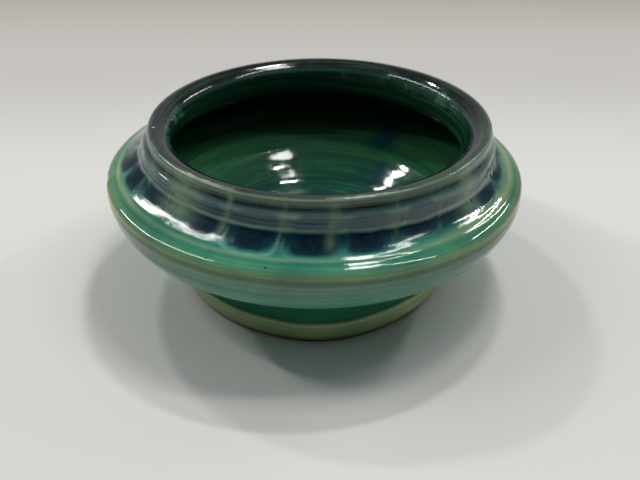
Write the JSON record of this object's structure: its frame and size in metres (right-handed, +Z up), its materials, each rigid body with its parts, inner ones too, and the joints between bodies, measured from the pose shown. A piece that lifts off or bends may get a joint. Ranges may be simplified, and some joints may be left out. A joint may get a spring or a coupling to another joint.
{
  "type": "bowl",
  "caption": "Low round thrown bowl with a wide ridged belly, sloping shoulder, short upright collar, thick rim and trimmed foot ring; glazed inside and out.",
  "frame": {"origin": "centre of the foot ring on the plane the bowl rests on", "axes": "+Z up along the bowl's axis; -Y is the front of the bowl, +X to its right"},
  "size_m": [0.1304, 0.1304, 0.0539],
  "materials": {
    "clay": "matte unglazed stoneware",
    "green_glaze": "gloss",
    "liner_glaze": "gloss",
    "dark_glaze": "gloss",
    "blue_glaze": "gloss"
  },
  "bodies": {
    "root": {"clay_body": "clay", "outer_glaze": "green_glaze", "liner_glaze": "liner_glaze", "rim_glaze": "dark_glaze", "blue_dabs": "blue_glaze"}
  },
  "joints": []
}
